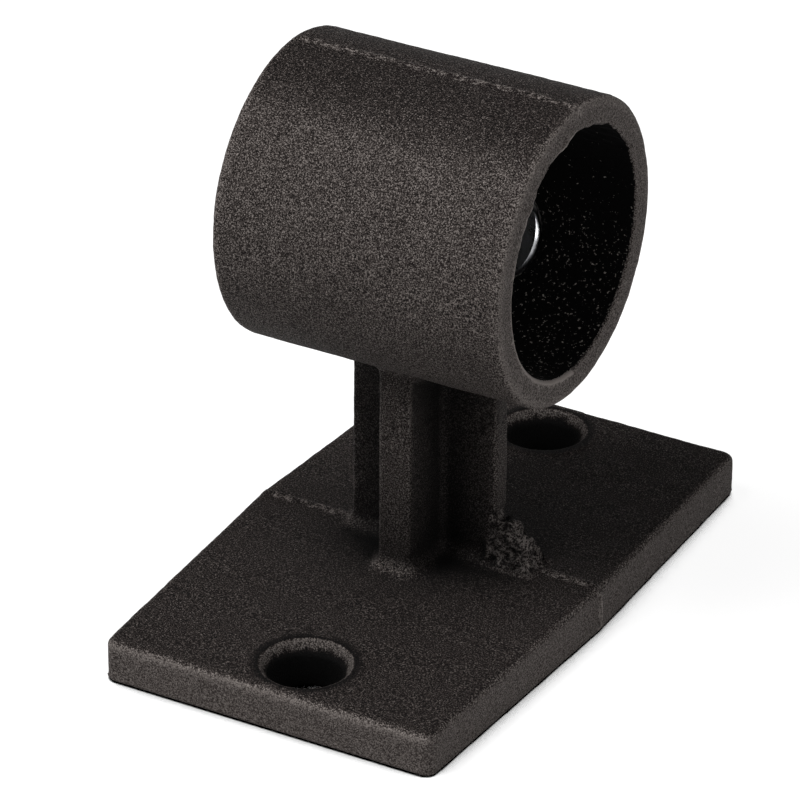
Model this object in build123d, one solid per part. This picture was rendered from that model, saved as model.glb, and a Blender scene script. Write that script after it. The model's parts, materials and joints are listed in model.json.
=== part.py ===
"""Tube clamp base flange for a 33.7 mm tube.

A sand-cast iron fitting: a round socket for the tube, held above an oblong base plate by a post of
cross section. A hexagon-socket grub screw in the socket's wall clamps the tube. X runs along the tube,
Y along the base plate, Z up. The origin is the middle of the base's underside.
The mould parts on the plane Y = 0, so every side that runs with Y tapers away from that plane.
"""
from build123d import *
import math
import os

# socket for the tube
bore_radius = 17.4
socket_wall = 4.25
socket_length = 44.0
axis_height = 57.2
socket_lip_round = 1.1
bore_lip_chamfer = 0.5

# base plate, largest at the parting plane and smaller at its two ends
plate_length = 89.5
plate_width = 54.0
plate_thickness = 7.3
plate_end_thickness = 6.4
side_draft = 2.05
plate_corner_round = 1.8
plate_top_round = 1.2
plate_foot_chamfer = 0.5

# fixing holes, each with a steep countersink, on a line that is turned a little from the plate's length
fixing_spacing = 73.0
fixing_turn = 2.5
fixing_radius = 5.0
fixing_mouth_radius = 6.4
fixing_mouth_depth = 1.9

# post of cross section: one web along X in the parting plane, one along Y
web_x_reach = 11.4
web_x_thickness = 3.8
web_y_reach = 10.2
web_y_tip_thickness = 5.2
web_y_root_thickness = 6.2
post_edge_round = 0.8
post_inner_round = 1.2
post_foot_round = 2.2
post_head_round = 1.2

# grub screw and its boss, low on the +Y side of the socket
screw_below_horizontal = 30.0
screw_radius = 8.3
screw_clearance = 0.04
screw_length = 12.0
screw_tip_clearance = 0.2
screw_chamfer = 0.8
screw_key_across_flats = 8.0
screw_key_depth = 6.0
screw_cup_radius = 5.4
screw_cup_depth = 1.2
boss_radius = 13.0
boss_height = 2.6
boss_edge_chamfer = 0.8

# what casting leaves: a fin along the parting line, and the stub of the feeder at the post's foot
fin_height = 0.3
fin_half_width = 0.35
stub_root = 1.4
stub_reach = 7.0
stub_height = 6.7
stub_half_width = 3.4
stub_top_reach = 2.2
stub_top_half_width = 1.2
stub_pit_radius = 1.2
stub_pit_depth = 1.0

socket_radius = bore_radius + socket_wall


def half_plate():
    """The half of the base plate at -Y, from the parting plane out to its end."""
    half_length = plate_length / 2
    half_width = plate_width / 2
    end_half_width = half_width - half_length * math.tan(math.radians(side_draft))
    plan = make_face(
        Polyline(
            (-half_width, 0),
            (half_width, 0),
            (end_half_width, -half_length),
            (-end_half_width, -half_length),
            close=True,
        )
    )
    side = Plane.YZ * make_face(
        Polyline(
            (0, 0),
            (0, plate_thickness),
            (-half_length, plate_end_thickness),
            (-half_length, 0),
            close=True,
        )
    )
    half = extrude(plan, plate_thickness) & extrude(side, plate_width, both=True)
    half = fillet(half.edges().filter_by(Axis.Z).filter_by(off_parting_plane), plate_corner_round)
    top = half.edges().filter_by(lambda e: off_parting_plane(e) and on_plate_top(e.center()))
    half = fillet(top, plate_top_round)
    foot = half.edges().filter_by(lambda e: off_parting_plane(e) and e.center().Z < 0.01)
    return chamfer(foot, plate_foot_chamfer)


def off_parting_plane(edge):
    """Whether an edge has any of its length away from the parting plane."""
    return abs(edge.center().Y) > 0.01


def on_plate_top(point):
    """Whether a point lies on the plate's sloping top."""
    share = abs(point.Y) / (plate_length / 2)
    level = plate_thickness + (plate_end_thickness - plate_thickness) * share
    return abs(point.Z - level) < 0.05


def post():
    """The cross-shaped post, from the middle of the plate up into the socket's wall."""
    x_half = web_x_thickness / 2
    tip_half = web_y_tip_thickness / 2
    root_half = web_y_root_thickness / 2
    quarter = [
        (web_x_reach, x_half),
        (root_half, x_half),
        (tip_half, web_y_reach),
    ]
    outline = quarter + [(-x, y) for x, y in reversed(quarter)]
    outline += [(-x, -y) for x, y in quarter] + [(x, -y) for x, y in reversed(quarter)]
    cross = make_face(Polyline(*outline, close=True))
    inner = cross.vertices().filter_by(lambda v: abs(abs(v.X) - root_half) < 0.01)
    cross = fillet(inner, post_inner_round)
    tips = cross.vertices().filter_by(
        lambda v: abs(v.X) > web_x_reach - 0.01 or abs(v.Y) > web_y_reach - 0.01
    )
    cross = fillet(tips, post_edge_round)
    start = plate_thickness / 2
    top = axis_height - bore_radius - 0.5
    return extrude(Pos(0, 0, start) * cross, top - start)


def radial(distance):
    """A plane square to the grub screw's axis, facing outwards, at a distance from the tube's axis."""
    turn = math.radians(screw_below_horizontal)
    out = Vector(0, math.cos(turn), -math.sin(turn))
    centre = Vector(0, 0, axis_height) + out * distance
    return Plane(origin=centre, x_dir=(1, 0, 0), z_dir=out)


def socket_outside():
    along_x = Plane(origin=(-socket_length / 2, 0, axis_height), x_dir=(0, 1, 0), z_dir=(1, 0, 0))
    socket = extrude(along_x * Circle(socket_radius), socket_length)
    return fillet(socket.edges().filter_by(GeomType.CIRCLE), socket_lip_round)


def boss():
    inside = radial(bore_radius + 1.0)
    body = extrude(inside * Circle(boss_radius), socket_wall + boss_height - 1.0)
    rim = body.edges().filter_by(GeomType.CIRCLE).sort_by(Axis(inside.origin, inside.z_dir))[-1]
    return chamfer(rim, boss_edge_chamfer)


def feeder_stub():
    """The broken stub of the feeder: a lump that leans on the post's +X web and has a pit in it."""
    start = web_x_reach - stub_root
    foot = plate_thickness - 1.0
    head = plate_thickness + stub_height
    from_start = (Align.MIN, Align.CENTER)
    low = Pos(start, 0, foot) * Rectangle(stub_root + stub_reach, 2 * stub_half_width, align=from_start)
    high = Pos(start, 0, head) * Rectangle(
        stub_root + stub_top_reach, 2 * stub_top_half_width, align=from_start
    )
    lump = loft([low, high], ruled=True)
    pit = Cone(stub_pit_radius, stub_pit_radius / 2, 2 * stub_pit_depth)
    return lump - Pos(start + stub_reach / 2, -stub_half_width, plate_thickness + 2) * Rot(90, 0, 0) * pit


def parting_fin():
    """Thin ridges left along the parting plane: over the plate's top and sides, and over the socket."""
    across = 2 * (plate_width / 2 + fin_height)
    plate = Box(
        across,
        2 * fin_half_width,
        plate_thickness - 1.5 + fin_height,
        align=(Align.CENTER, Align.CENTER, Align.MIN),
    )
    plate = Pos(0, 0, 1.5) * plate
    length = socket_length - 2 * socket_lip_round
    ring = Cylinder(socket_radius + fin_height, length, rotation=(0, 90, 0))
    socket = Pos(0, 0, axis_height) * (ring & Box(length, 2 * fin_half_width, 4 * socket_radius))
    return plate + socket


def plate_and_post():
    """The plate with the post filleted onto it, made as one half and mirrored in the parting plane."""
    side = Box(
        2 * plate_width, plate_length, 4 * axis_height, align=(Align.CENTER, Align.MAX, Align.CENTER)
    )
    half = half_plate() + (post() & side)
    half = fillet(half.edges().filter_by(meets_plate), post_foot_round)
    return half + mirror(half, about=Plane.XZ)


def flange_casting():
    body = plate_and_post() + socket_outside()
    body = fillet(body.edges().filter_by(meets_socket), post_head_round)
    body += parting_fin()
    body += boss()
    body += feeder_stub()
    body -= Pos(0, 0, axis_height) * Rot(0, 90, 0) * Cylinder(bore_radius, 2 * socket_length)
    body = chamfer(body.edges().filter_by(is_bore_lip), bore_lip_chamfer)
    for end in (-1, 1):
        body -= Rot(0, 0, fixing_turn) * Pos(0, end * fixing_spacing / 2, 0) * fixing_hole()
    thread = extrude(radial(bore_radius - 6.0) * Circle(screw_radius + screw_clearance), 30)
    return body - thread


def fixing_hole():
    """The shape a fixing hole takes out of the plate: a plain hole with a steep countersink."""
    share = fixing_spacing / plate_length
    level = plate_thickness + (plate_end_thickness - plate_thickness) * share
    taper = (fixing_mouth_radius - fixing_radius) / fixing_mouth_depth
    rise = 1.0
    mouth = Cone(
        fixing_radius,
        fixing_mouth_radius + rise * taper,
        fixing_mouth_depth + rise,
        align=(Align.CENTER, Align.CENTER, Align.MIN),
    )
    return Cylinder(fixing_radius, 4 * plate_thickness) + Pos(0, 0, level - fixing_mouth_depth) * mouth


def is_bore_lip(edge):
    """The bore's edge at either end face of the socket."""
    middle = edge.center()
    at_end = abs(abs(middle.X) - socket_length / 2) < 0.01
    return at_end and edge.geom_type == GeomType.CIRCLE and abs(edge.radius - bore_radius) < 0.01


def meets_plate(edge):
    """Edges of the post's foot, on the plate's top."""
    middle = edge.center()
    near = abs(middle.X) < web_x_reach + 0.1 and abs(middle.Y) < web_y_reach + 0.1
    return near and off_parting_plane(edge) and on_plate_top(middle)


def meets_socket(edge):
    """Edges where the post runs into the socket's outside."""
    for share in (0.1, 0.5, 0.9):
        point = edge.position_at(share)
        from_axis = math.hypot(point.Y, point.Z - axis_height)
        if abs(from_axis - socket_radius) > 0.02 or abs(point.X) > web_x_reach + 0.2:
            return False
    return edge.center().Z < axis_height


def grub_screw():
    """Hexagon-socket grub screw with a cup point, at rest just clear of the bore."""
    tip = bore_radius + screw_tip_clearance
    body = extrude(radial(tip) * Circle(screw_radius), screw_length)
    body = chamfer(body.edges().filter_by(GeomType.CIRCLE), screw_chamfer)
    key_radius = screw_key_across_flats / math.sqrt(3)
    key = extrude(
        radial(tip + screw_length - screw_key_depth) * RegularPolygon(key_radius, 6), screw_key_depth + 1
    )
    cup = loft([
        radial(tip) * Circle(screw_cup_radius),
        radial(tip + screw_cup_depth) * Circle(screw_cup_radius - screw_cup_depth),
    ])
    return body - key - cup


os.makedirs("parts", exist_ok=True)
export_step(flange_casting(), "parts/flange_casting.step")
export_step(grub_screw(), "parts/grub_screw.step")
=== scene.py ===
import bpy
import json
import math
import random
from mathutils import Matrix, Vector


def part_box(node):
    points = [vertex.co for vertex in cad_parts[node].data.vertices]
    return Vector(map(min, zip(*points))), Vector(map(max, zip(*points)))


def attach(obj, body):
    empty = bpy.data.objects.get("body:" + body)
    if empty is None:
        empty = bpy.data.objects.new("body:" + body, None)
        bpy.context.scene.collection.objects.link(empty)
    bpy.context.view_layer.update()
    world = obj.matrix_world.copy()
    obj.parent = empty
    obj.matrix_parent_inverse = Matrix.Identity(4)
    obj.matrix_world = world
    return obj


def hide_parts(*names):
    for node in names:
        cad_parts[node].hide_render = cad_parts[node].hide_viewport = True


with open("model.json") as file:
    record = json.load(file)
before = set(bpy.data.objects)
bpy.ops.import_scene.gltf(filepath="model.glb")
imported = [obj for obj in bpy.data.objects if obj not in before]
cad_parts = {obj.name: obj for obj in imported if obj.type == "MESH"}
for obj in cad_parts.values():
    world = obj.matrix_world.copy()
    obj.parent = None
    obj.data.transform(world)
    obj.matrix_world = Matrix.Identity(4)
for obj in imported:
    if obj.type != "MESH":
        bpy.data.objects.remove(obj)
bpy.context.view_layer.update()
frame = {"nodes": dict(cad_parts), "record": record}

mm = 0.001

# the tube's height, the socket and the plate, in metres, as the frame has them
castingLow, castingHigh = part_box("flange_casting")
tubeMount = next(m for m in frame["record"]["mounts"] if m["name"] == "tube_bore")
tubeHeight = tubeMount["pos_m"][2]
boreRadius = tubeMount["dims"]["r_mm"] * mm


def deselectAll():
    if bpy.context.mode != "OBJECT":
        bpy.ops.object.mode_set(mode="OBJECT")
    bpy.ops.object.select_all(action="DESELECT")


def pick(piece):
    deselectAll()
    piece.select_set(True)
    bpy.context.view_layer.objects.active = piece


def applyModifier(piece, kind, name, **settings):
    pick(piece)
    modifier = piece.modifiers.new(name, kind)
    for key, value in settings.items():
        setattr(modifier, key, value)
    bpy.ops.object.modifier_apply(modifier=name)


def copyOfNode(node, name):
    # the CAD mesh is loose triangles, so the copy is merged before it is worked on
    piece = bpy.data.objects.new(name, frame["nodes"][node].data.copy())
    bpy.context.scene.collection.objects.link(piece)
    pick(piece)
    bpy.ops.object.mode_set(mode="EDIT")
    bpy.ops.mesh.select_all(action="SELECT")
    bpy.ops.mesh.remove_doubles(threshold=0.000005)
    bpy.ops.object.mode_set(mode="OBJECT")
    return piece


def fromHex(code):
    channels = [int(code[i:i + 2], 16) / 255 for i in (1, 3, 5)]
    return tuple(c / 12.92 if c <= 0.04045 else ((c + 0.055) / 1.055) ** 2.4 for c in channels) + (1.0,)


def addNode(material, kind, inputs=None, **settings):
    node = material.node_tree.nodes.new(kind)
    for key, value in settings.items():
        setattr(node, key, value)
    for key, value in (inputs or {}).items():
        if isinstance(value, bpy.types.NodeSocket):
            material.node_tree.links.new(value, node.inputs[key])
        else:
            node.inputs[key].default_value = value
    return node


def newMaterial(name):
    material = bpy.data.materials.new(name)
    material.use_nodes = True
    material.node_tree.nodes.clear()
    return material


coat = {
    "hollow": "#050404",  # the film in the pits of the grain, darkened further as painted shade
    "film": "#2b2523",
    "crest": "#837c78",  # the grain's pale tips, partly painted glints
    "grain": 0.21,  # mm, sand grain under the film, a little coarser than the real one so that it shows
    "fineGrain": 0.14,  # mm, texture of the powder itself
    "swell": 4.0,  # mm, slow unevenness of the mould
    "roughness": 0.72,
    "topShade": 0.050,  # painted shade: how far the flat top is darkened towards the hollows
    "wearAndHighlightLift": 0.07,  # how far worn edges, which also carry painted highlight, move towards the crests
    "paintedSideLight": 0.02,  # painted light: and how far the ground edges are lifted, too
    "dressedFlatness": 0.5,  # how much of the grain is gone on the dressed edges
}


def readMark(material, name):
    return addNode(material, "ShaderNodeAttribute", attribute_name=name).outputs["Fac"]


def mathNode(material, operation, first, second):
    return addNode(material, "ShaderNodeMath", {0: first, 1: second}, operation=operation).outputs[0]


def powderCoatedSandCasting():
    # matt black powder coat over sand-cast iron: dull, with a fine glinting grain, its glints partly painted
    # into the colour as pale tips
    material = newMaterial("powderCoatedSandCasting")
    place = addNode(material, "ShaderNodeTexCoord").outputs["Object"]
    grain = addNode(material, "ShaderNodeTexNoise", {
        "Vector": place, "Scale": 1 / (coat["grain"] * mm), "Detail": 3.0, "Roughness": 0.65})
    fine = addNode(material, "ShaderNodeTexNoise", {
        "Vector": place, "Scale": 1 / (coat["fineGrain"] * mm), "Detail": 2.0, "Roughness": 0.6})
    swell = addNode(material, "ShaderNodeTexNoise", {
        "Vector": place, "Scale": 1 / (coat["swell"] * mm), "Detail": 3.0})
    mixed = addNode(material, "ShaderNodeMix", {
        "Factor": 0.35, "A": grain.outputs["Fac"], "B": fine.outputs["Fac"]}, data_type="FLOAT")
    # ground edges are smoother and lifted as painted light, the flat top is darkened as painted shade, and
    # worn edges show more crests, partly as painted highlight
    calm = mathNode(material, "MULTIPLY", readMark(material, "dressedAndSideLit"), coat["dressedFlatness"])
    level = addNode(material, "ShaderNodeMix", {
        "Factor": calm, "A": mixed.outputs["Result"], "B": 0.515}, data_type="FLOAT").outputs["Result"]
    for mark, lift, operation in (
        ("paintedShade", "topShade", "SUBTRACT"),
        ("wornAndHighlit", "wearAndHighlightLift", "ADD"),
        ("dressedAndSideLit", "paintedSideLight", "ADD"),
    ):
        amount = mathNode(material, "MULTIPLY", readMark(material, mark), coat[lift])
        level = mathNode(material, operation, level, amount)
    tone = addNode(material, "ShaderNodeValToRGB", {"Fac": level})
    tone.color_ramp.elements[0].position = 0.40
    tone.color_ramp.elements[0].color = fromHex(coat["hollow"])
    tone.color_ramp.elements[1].position = 0.625
    tone.color_ramp.elements[1].color = fromHex(coat["crest"])
    middle = tone.color_ramp.elements.new(0.5)
    middle.color = fromHex(coat["film"])
    # painted shade: corners and sheltered places are darkened by their own occlusion, in place of deeper
    # shadow
    paintedCornerShade = addNode(material, "ShaderNodeAmbientOcclusion", {"Distance": 0.03}, samples=6, only_local=True)
    shade = addNode(material, "ShaderNodeMapRange", {
        "Value": paintedCornerShade.outputs["AO"], "From Min": 0.48, "From Max": 0.97, "To Min": 0.01, "To Max": 1.0})
    film = addNode(material, "ShaderNodeVectorMath", {
        0: tone.outputs["Color"], "Scale": shade.outputs["Result"]}, operation="SCALE")
    bumpSwell = addNode(material, "ShaderNodeBump", {
        "Height": swell.outputs["Fac"], "Strength": 0.35, "Distance": 0.5 * mm})
    bumpGrain = addNode(material, "ShaderNodeBump", {
        "Height": grain.outputs["Fac"], "Strength": 0.9, "Distance": 0.2 * mm,
        "Normal": bumpSwell.outputs["Normal"]})
    bumpFine = addNode(material, "ShaderNodeBump", {
        "Height": fine.outputs["Fac"], "Strength": 0.6, "Distance": 0.08 * mm,
        "Normal": bumpGrain.outputs["Normal"]})
    gloss = addNode(material, "ShaderNodeMapRange", {
        "Value": grain.outputs["Fac"], "From Min": 0.3, "From Max": 0.7,
        "To Min": coat["roughness"] + 0.12, "To Max": coat["roughness"] - 0.12})
    shader = addNode(material, "ShaderNodeBsdfPrincipled", {
        "Base Color": film.outputs[0], "Roughness": gloss.outputs["Result"],
        "Normal": bumpFine.outputs["Normal"], "IOR": 1.5, "Specular IOR Level": 0.09})
    addNode(material, "ShaderNodeOutputMaterial", {"Surface": shader.outputs["BSDF"]})
    return material


# painted shade: the socket's inside is coloured near black, standing in for the shade that fills the bore
bore = {
    "film": "#060606",
    "speck": "#8a8580",
    "speckSize": 0.5,  # mm, loose grains of sand and powder
    "roughness": 0.95,
}


def boreShadeMaterial():
    # painted shade inside the socket: coloured near black and dull, with a few pale specks of sand
    material = newMaterial("boreShadeMaterial")
    place = addNode(material, "ShaderNodeTexCoord").outputs["Object"]
    specks = addNode(material, "ShaderNodeTexNoise", {
        "Vector": place, "Scale": 1 / (bore["speckSize"] * mm), "Detail": 2.0, "Roughness": 0.7})
    height = addNode(material, "ShaderNodeSeparateXYZ", {0: place}).outputs["Z"]
    # fewer specks towards the top of the bore
    speckFadeUpwards = addNode(material, "ShaderNodeMapRange", {
        "Value": height, "From Min": tubeHeight - 6 * mm, "From Max": tubeHeight + 6 * mm, "To Max": 0.09})
    level = mathNode(material, "SUBTRACT", specks.outputs["Fac"], speckFadeUpwards.outputs["Result"])
    tone = addNode(material, "ShaderNodeValToRGB", {"Fac": level})
    tone.color_ramp.elements[0].position = 0.62
    tone.color_ramp.elements[0].color = fromHex(bore["film"])
    tone.color_ramp.elements[1].position = 0.72
    tone.color_ramp.elements[1].color = fromHex(bore["speck"])
    bump = addNode(material, "ShaderNodeBump", {
        "Height": specks.outputs["Fac"], "Strength": 0.5, "Distance": 0.15 * mm})
    shader = addNode(material, "ShaderNodeBsdfPrincipled", {
        "Base Color": tone.outputs["Color"], "Roughness": bore["roughness"], "Specular IOR Level": 0.05,
        "Normal": bump.outputs["Normal"]})
    addNode(material, "ShaderNodeOutputMaterial", {"Surface": shader.outputs["BSDF"]})
    return material


plating = {
    "bright": "#b9babc",
    "dull": "#929396",
    "stain": 2.0,  # mm, cloudy patches in the passivation
    "roughness": 0.28,
}


bareIron = {
    "bright": "#a19f9c",
    "dull": "#7d7a77",
    "stain": 1.5,
    "roughness": 0.34,
}


def turnedMetal(name, values):
    # turned metal with soft reflections: pale cloudy zinc plate, or the duller iron that a tap leaves bare
    material = newMaterial(name)
    place = addNode(material, "ShaderNodeTexCoord").outputs["Object"]
    cloud = addNode(material, "ShaderNodeTexNoise", {
        "Vector": place, "Scale": 1 / (values["stain"] * mm), "Detail": 4.0})
    tone = addNode(material, "ShaderNodeValToRGB", {"Fac": cloud.outputs["Fac"]})
    tone.color_ramp.elements[0].position = 0.35
    tone.color_ramp.elements[0].color = fromHex(values["dull"])
    tone.color_ramp.elements[1].position = 0.65
    tone.color_ramp.elements[1].color = fromHex(values["bright"])
    gloss = addNode(material, "ShaderNodeMapRange", {
        "Value": cloud.outputs["Fac"], "From Min": 0.3, "From Max": 0.7,
        "To Min": values["roughness"] + 0.08, "To Max": values["roughness"] - 0.06})
    shader = addNode(material, "ShaderNodeBsdfPrincipled", {
        "Base Color": tone.outputs["Color"], "Roughness": gloss.outputs["Result"], "Metallic": 1.0})
    addNode(material, "ShaderNodeOutputMaterial", {"Surface": shader.outputs["BSDF"]})
    return material


chance = random.Random(7)
skin = {
    "voxel": 0.30 * mm,
    "facesKept": 0.28,
    "footFlat": 0.6 * mm,  # the flat underside is left alone below this height
    "swellSize": 8.0 * mm,
    "swellDepth": 0.20 * mm,
    "pebbleSize": 1.2 * mm,
    "pebbleDepth": 0.10 * mm,
    "raggedSize": 1.1 * mm,
    "raggedDepth": 0.22 * mm,
    "stubSize": 1.3 * mm,
    "stubDepth": 1.5 * mm,
    "lipSize": 3.0 * mm,
    "lipDepth": 0.8 * mm,
}
fixingHoles = next(m for m in frame["record"]["mounts"] if m["name"] == "fixing_holes")
fixingTurn = math.radians(2.5)
fixingReach = fixingHoles["dims"]["pcd_mm"] / 2 * mm
fixingSpots = [
    Vector((-side * math.sin(fixingTurn), side * math.cos(fixingTurn), 0)) * fixingReach for side in (-1, 1)
]


def cloudsTexture(name, size, depth=2):
    texture = bpy.data.textures.new(name, "CLOUDS")
    texture.noise_scale = size
    texture.noise_depth = depth
    return texture


def fromTubeAxis(spot):
    return math.hypot(spot.y, spot.z - tubeHeight)


def nearFixing(spot, reach):
    return spot.z < 10 * mm and any(math.hypot(spot.x - f.x, spot.y - f.y) < reach for f in fixingSpots)


def onFin(spot):
    onTube = spot.z > 77 * mm
    onPlate = spot.z < 9 * mm and abs(spot.x) > 12 * mm
    return abs(spot.y) < 0.75 * mm and abs(spot.x) < 25 * mm and (onTube or onPlate)


def onStub(spot):
    return 10.5 * mm < spot.x < 19.5 * mm and abs(spot.y) < 4 * mm and 7.6 * mm < spot.z < 15 * mm


def onBoreLip(spot):
    return spot.x > 15 * mm and fromTubeAxis(spot) < boreRadius + 0.9 * mm and spot.z > tubeHeight + 9 * mm


def onOpenSkin(spot):
    return spot.z > skin["footFlat"] and not nearFixing(spot, 8 * mm)


def roughen(piece, name, size, depth, middle, test, detail=2):
    group = piece.vertex_groups.new(name=name)
    group.add([v.index for v in piece.data.vertices if test(v.co)], 1.0, "REPLACE")
    applyModifier(
        piece, "DISPLACE", name, texture=cloudsTexture(name, size, detail), texture_coords="LOCAL",
        strength=depth, mid_level=middle, vertex_group=name,
    )


def closeness(distance, reach):
    return max(0.0, 1.0 - abs(distance) / reach)


def howWornAndHighlit(spot):
    # handling has bared the crests along the plate's ends, the post's edges and the socket's lips, and
    # painted highlight brightens these edges too
    across, along, reach = abs(spot.x), abs(spot.y), fromTubeAxis(spot)
    marks = [
        0.6 * closeness(math.hypot(along - castingHigh.y, spot.z - 6.2 * mm), 1.6 * mm),
        0.5 * closeness(math.hypot(across - 21.6 * mm, reach - 21.2 * mm), 1.3 * mm),
        # painted highlight: the lip's inner edge is lifted far more on the -y side
        (5.0 if spot.y < 0 else 0.5) * closeness(math.hypot(across - 21.9 * mm, reach - 17.6 * mm), 0.6 * mm),
    ]
    if 9 * mm < spot.z < 38 * mm:
        marks.append(closeness(math.hypot(across - 2.6 * mm, along - 10.2 * mm), 0.6 * mm))
        marks.append(closeness(math.hypot(across - 11.4 * mm, along - 1.9 * mm), 0.6 * mm))
    # painted light: a lit band round the fixing holes' mouths
    if nearFixing(spot, 6.5 * mm) and spot.z > 5.4 * mm:
        marks.append(0.6)
    if onFin(spot) or (along < 0.5 * mm and across > 26.5 * mm):
        marks.append(chance.uniform(-0.6, 1.6))
    if onStub(spot):
        marks.append(chance.uniform(-1.4, 2.4))
    return max(marks, key=abs)


def howDressedAndSideLit(spot, normal):
    # the plate's sides and the lip's faces: a smoother ground finish, and lifted as painted light
    plateEdge = spot.z < 6.2 * mm and abs(normal.z) < 0.6 and not nearFixing(spot, 7 * mm)
    lipFace = spot.z > 30 * mm and abs(normal.x) > 0.7
    return float(plateEdge or lipFace)


def howPaintedShade(spot, normal):
    # painted shade: the flat top is darkened, the fixing holes' insides are darkened hard, and a painted
    # shadow line rings their rims
    if nearFixing(spot, 5.4 * mm) and spot.z < 5.4 * mm:
        return 4.0
    if nearFixing(spot, 6.9 * mm) and not nearFixing(spot, 6.45 * mm) and spot.z > 6.2 * mm:
        return 3.0
    return max(0.0, min(1.0, (normal.z - 0.76) / 0.18))


def markSurface(piece):
    mesh = piece.data
    marks = {
        "wornAndHighlit": lambda v: howWornAndHighlit(v.co),
        "dressedAndSideLit": lambda v: howDressedAndSideLit(v.co, v.normal),
        "paintedShade": lambda v: howPaintedShade(v.co, v.normal),
    }
    for name, measure in marks.items():
        attribute = mesh.attributes.new(name, "FLOAT", "POINT")
        attribute.data.foreach_set("value", [measure(v) for v in mesh.vertices])


def buildCastingSkin(coating, paintedBoreShade):
    piece = copyOfNode("flange_casting", "castingSkin")
    applyModifier(piece, "REMESH", "evenSkin", mode="VOXEL", voxel_size=skin["voxel"], use_smooth_shade=True)
    roughen(piece, "swell", skin["swellSize"], skin["swellDepth"], 0.8, onOpenSkin)
    roughen(piece, "pebble", skin["pebbleSize"], skin["pebbleDepth"], 0.8, onOpenSkin)
    roughen(piece, "raggedFin", skin["raggedSize"], skin["raggedDepth"], 0.55, onFin)
    roughen(piece, "brokenStub", skin["stubSize"], skin["stubDepth"], 0.72, onStub, 4)
    roughen(piece, "boreLip", skin["lipSize"], skin["lipDepth"], 0.5, onBoreLip)
    keepInside(piece)
    applyModifier(piece, "DECIMATE", "lighter", ratio=skin["facesKept"])
    pick(piece)
    bpy.ops.object.shade_smooth()
    piece.vertex_groups.clear()
    markSurface(piece)
    piece.data.materials.clear()
    piece.data.materials.append(coating)
    piece.data.materials.append(paintedBoreShade)
    # the faces inside the bore take the near-black painted-shade material
    for face in piece.data.polygons:
        depth = 1.2 * mm if abs(face.center.x) < 10 * mm else 0.35 * mm
        inBore = fromTubeAxis(face.center) < boreRadius + depth and abs(face.center.x) < 21.5 * mm
        face.material_index = int(inBore)
    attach(piece, "casting")
    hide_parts("flange_casting")
    print("casting skin:", len(piece.data.polygons), "faces")
    return piece


def keepInside(piece):
    # no grain stands out of the casting's own box, and the fin is worn round at the plate's edges
    for vertex in piece.data.vertices:
        outwards = math.copysign(1, vertex.co.x)
        edge = Vector((outwards * 25.5 * mm, 0, 6.1 * mm))
        fromEdge = Vector((vertex.co.x - edge.x, 0, vertex.co.z - edge.z))
        beyond = fromEdge.x * outwards > 0 and fromEdge.z > 0
        if beyond and abs(vertex.co.y) < 1.5 * mm and fromEdge.length > 1.4 * mm:
            fromEdge *= 1.4 * mm / fromEdge.length
            vertex.co.x, vertex.co.z = edge.x + fromEdge.x, edge.z + fromEdge.z
        for axis in range(3):
            vertex.co[axis] = min(max(vertex.co[axis], castingLow[axis]), castingHigh[axis])


screw = {
    "below": math.radians(30),  # the screw's axis points this far below horizontal
    "pitch": 1.337 * mm,
    "crest": 8.24 * mm,
    "root": 7.46 * mm,
    "crestFlat": 0.14,  # share of the pitch
    "rootFlat": 0.16,
    "turns": 13,
    "steps": 40,
    "start": 14.0 * mm,  # from the tube's axis to the rod's first turn
    "bushRadius": 8.7 * mm,
    "bushEnd": 24.2 * mm,
    "slack": 1.006,  # the tapped thread is this much wider than the screw's
}


def screwAxis():
    out = Vector((0, math.cos(screw["below"]), -math.sin(screw["below"])))
    return Vector((0, 0, tubeHeight)), out


def alongScrew(piece):
    # stands the piece on the screw's axis, with its own zero at the tube's axis
    centre, out = screwAxis()
    pick(piece)
    piece.matrix_world = Matrix.Translation(centre) @ out.to_track_quat("Z", "X").to_matrix().to_4x4()
    bpy.ops.object.transform_apply(location=True, rotation=True, scale=True)


def cutAcross(height, keepAbove):
    bpy.ops.mesh.select_all(action="SELECT")
    bpy.ops.mesh.bisect(
        plane_co=(0, 0, height), plane_no=(0, 0, 1), use_fill=True, clear_inner=keepAbove,
        clear_outer=not keepAbove,
    )


def threadedRod(name, widening=1.0):
    rise = (1 - screw["crestFlat"] - screw["rootFlat"]) / 2 * screw["pitch"]
    depth = (screw["crest"] - screw["root"]) * widening
    bpy.ops.mesh.primitive_plane_add(size=0.001, location=(0, 0, 0))
    rod = bpy.context.object
    rod.name = name
    bpy.ops.object.mode_set(mode="EDIT")
    bpy.ops.mesh.merge(type="CENTER")
    bpy.ops.transform.translate(value=(screw["root"] * widening, 0, screw["start"]))
    for step in (
        (0, 0, screw["rootFlat"] * screw["pitch"]),
        (depth, 0, rise),
        (0, 0, screw["crestFlat"] * screw["pitch"]),
        (-depth, 0, rise),
    ):
        bpy.ops.mesh.extrude_region_move(TRANSFORM_OT_translate={"value": step})
    bpy.ops.object.mode_set(mode="OBJECT")
    applyModifier(
        rod, "SCREW", "helix", screw_offset=screw["pitch"], iterations=screw["turns"], steps=screw["steps"],
        render_steps=screw["steps"], use_normal_calculate=True,
    )
    pick(rod)
    bpy.ops.object.mode_set(mode="EDIT")
    bpy.ops.mesh.select_all(action="SELECT")
    bpy.ops.mesh.remove_doubles(threshold=0.01 * mm)
    cutAcross(screw["start"] + 1.2 * screw["pitch"], True)
    cutAcross(screw["start"] + (screw["turns"] - 0.5) * screw["pitch"], False)
    bpy.ops.mesh.select_all(action="SELECT")
    bpy.ops.mesh.normals_make_consistent(inside=False)
    bpy.ops.object.mode_set(mode="OBJECT")
    alongScrew(rod)
    return rod


def cutWith(piece, cutter, operation):
    applyModifier(piece, "BOOLEAN", "cut", object=cutter, operation=operation, solver="EXACT")
    bpy.data.objects.remove(cutter)


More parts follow.
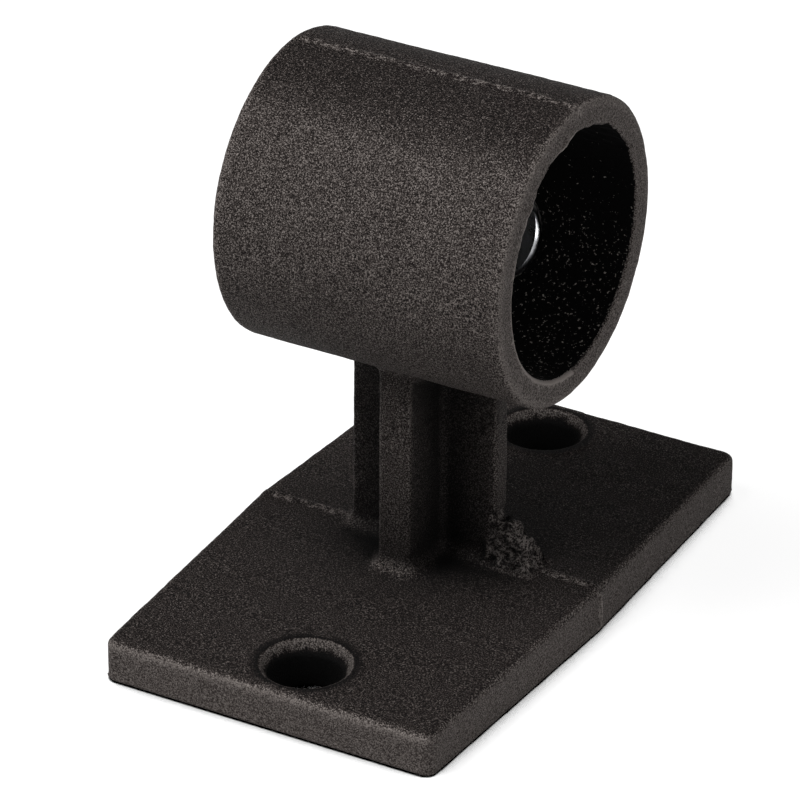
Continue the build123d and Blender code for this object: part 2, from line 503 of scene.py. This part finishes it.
def finishTurned(piece, material, body):
    pick(piece)
    bpy.ops.object.shade_smooth_by_angle(angle=math.radians(18))
    piece.data.materials.clear()
    piece.data.materials.append(material)
    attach(piece, body)
    print(piece.name + ":", len(piece.data.polygons), "faces")


def buildGrubScrew(material):
    piece = threadedRod("threadedGrubScrew")
    cutWith(piece, copyOfNode("grub_screw", "screwOutline"), "INTERSECT")
    finishTurned(piece, material, "screw")
    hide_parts("grub_screw")


def buildTappedHole(material):
    length = screw["bushEnd"] - screw["start"]
    bpy.ops.mesh.primitive_cylinder_add(
        vertices=64, radius=screw["bushRadius"], depth=length, location=(0, 0, screw["start"] + length / 2),
    )
    piece = bpy.context.object
    piece.name = "tappedHole"
    pick(piece)
    bpy.ops.object.transform_apply(location=True, rotation=True, scale=True)
    alongScrew(piece)
    bpy.ops.mesh.primitive_cylinder_add(
        vertices=192, radius=boreRadius + 0.9 * mm, depth=0.08, location=(0, 0, tubeHeight),
        rotation=(0, math.radians(90), 0),
    )
    cutWith(piece, bpy.context.object, "DIFFERENCE")
    cutWith(piece, threadedRod("tap", screw["slack"]), "DIFFERENCE")
    finishTurned(piece, material, "casting")


studio = {
    "cameraSpot": (0.3467, -0.6288, 0.4222),
    "cameraAim": (-0.4279, 0.7656, -0.4804),
    "cameraRight": (0.8710, 0.4913, 0.0072),
    "lens": 269.4,
    "floorSize": 6.0,
    "ambient": 0.03,
    "overhead": 0.08,
}


def buildCamera():
    camera = bpy.data.objects.new("camera", bpy.data.cameras.new("camera"))
    bpy.context.scene.collection.objects.link(camera)
    aim = Vector(studio["cameraAim"]).normalized()
    right = Vector(studio["cameraRight"])
    right = (right - right.dot(aim) * aim).normalized()
    up = right.cross(aim)
    turn = Matrix((right, up, -aim)).transposed()
    camera.matrix_world = Matrix.Translation(studio["cameraSpot"]) @ turn.to_4x4()
    camera.data.lens = studio["lens"]
    camera.data.sensor_width = 36.0
    camera.data.clip_start = 0.01
    bpy.context.scene.camera = camera


def softbox(name, spot, aim, size, power):
    light = bpy.data.lights.new(name, "AREA")
    light.shape = "RECTANGLE"
    light.size, light.size_y = size
    light.energy = power
    box = bpy.data.objects.new(name, light)
    bpy.context.scene.collection.objects.link(box)
    box.location = spot
    box.rotation_euler = (Vector(aim) - Vector(spot)).to_track_quat("-Z", "Y").to_euler()


def seenDirectly(material, *rays):
    # 1 for the kinds of ray named, so that they meet white, and 0 for the rays that light the part
    paths = addNode(material, "ShaderNodeLightPath")
    seen = paths.outputs[rays[0]]
    for ray in rays[1:]:
        seen = mathNode(material, "MAXIMUM", seen, paths.outputs[ray])
    return seen


def buildFloor():
    deselectAll()
    bpy.ops.mesh.primitive_plane_add(size=studio["floorSize"], location=(0, 0, 0))
    floor = bpy.context.object
    floor.name = "floor"
    material = newMaterial("paperSweep")
    seen = seenDirectly(material, "Is Camera Ray", "Is Glossy Ray", "Is Transmission Ray")
    # painted shadow: the paper's glow and colour darken by occlusion where the part stands close above it,
    # along its foot and under the fixing holes
    paintedContactShadow = addNode(material, "ShaderNodeAmbientOcclusion", {"Distance": 0.012}, samples=12)
    tone = addNode(material, "ShaderNodeMapRange", {
        "Value": paintedContactShadow.outputs["AO"], "From Min": 0.44, "From Max": 0.56, "To Min": 0.0, "To Max": 0.9})
    paper = addNode(material, "ShaderNodeBsdfDiffuse", {"Color": fromHex("#d0d0d0")})
    shaded = addNode(material, "ShaderNodeVectorMath", {
        0: (0.25, 0.25, 0.25), "Scale": tone.outputs[0]}, operation="SCALE")
    paintedShadowPaper = addNode(material, "ShaderNodeBsdfDiffuse", {"Color": shaded.outputs[0]})
    glow = addNode(material, "ShaderNodeEmission", {"Color": (1, 1, 1, 1), "Strength": tone.outputs[0]})
    both = addNode(material, "ShaderNodeAddShader", {0: paintedShadowPaper.outputs[0], 1: glow.outputs[0]})
    choice = addNode(material, "ShaderNodeMixShader", {0: seen, 1: paper.outputs[0], 2: both.outputs[0]})
    addNode(material, "ShaderNodeOutputMaterial", {"Surface": choice.outputs[0]})
    floor.data.materials.append(material)


def buildWorld():
    world = bpy.data.worlds.new("studioAir")
    world.use_nodes = True
    world.node_tree.nodes.clear()
    bpy.context.scene.world = world
    facing = addNode(world, "ShaderNodeTexCoord").outputs["Generated"]
    height = addNode(world, "ShaderNodeSeparateXYZ", {0: facing}).outputs["Z"]
    sweep = addNode(world, "ShaderNodeMapRange", {
        "Value": height, "From Min": 0.05, "From Max": 0.35, "To Min": 1.0, "To Max": studio["overhead"]})
    inGloss = addNode(world, "ShaderNodeMapRange", {
        "Value": seenDirectly(world, "Is Glossy Ray", "Is Transmission Ray"),
        "To Min": studio["ambient"], "To Max": sweep.outputs["Result"]})
    strength = addNode(world, "ShaderNodeMapRange", {
        "Value": seenDirectly(world, "Is Camera Ray"),
        "To Min": inGloss.outputs["Result"], "To Max": 1.0})
    air = addNode(world, "ShaderNodeBackground", {
        "Color": (1, 1, 1, 1), "Strength": strength.outputs["Result"]})
    addNode(world, "ShaderNodeOutputWorld", {"Surface": air.outputs[0]})


buildCamera()
buildFloor()
buildWorld()
softbox("frontBox", (-0.44, -0.46, 0.98), (0, 0, 0.04), (0.5, 0.5), 16)
softbox("rightBox", (0.86, -0.20, 0.60), (0, 0, 0.04), (0.5, 0.5), 4)
bpy.context.scene.view_settings.view_transform = "Standard"
print("studio ready")

coating = powderCoatedSandCasting()
zinc = turnedMetal("zincPlatedSteel", plating)
nearBlackBoreShade = boreShadeMaterial()
buildCastingSkin(coating, nearBlackBoreShade)
buildGrubScrew(zinc)
buildTappedHole(turnedMetal("bareTappedIron", bareIron))
print("pieces ready")
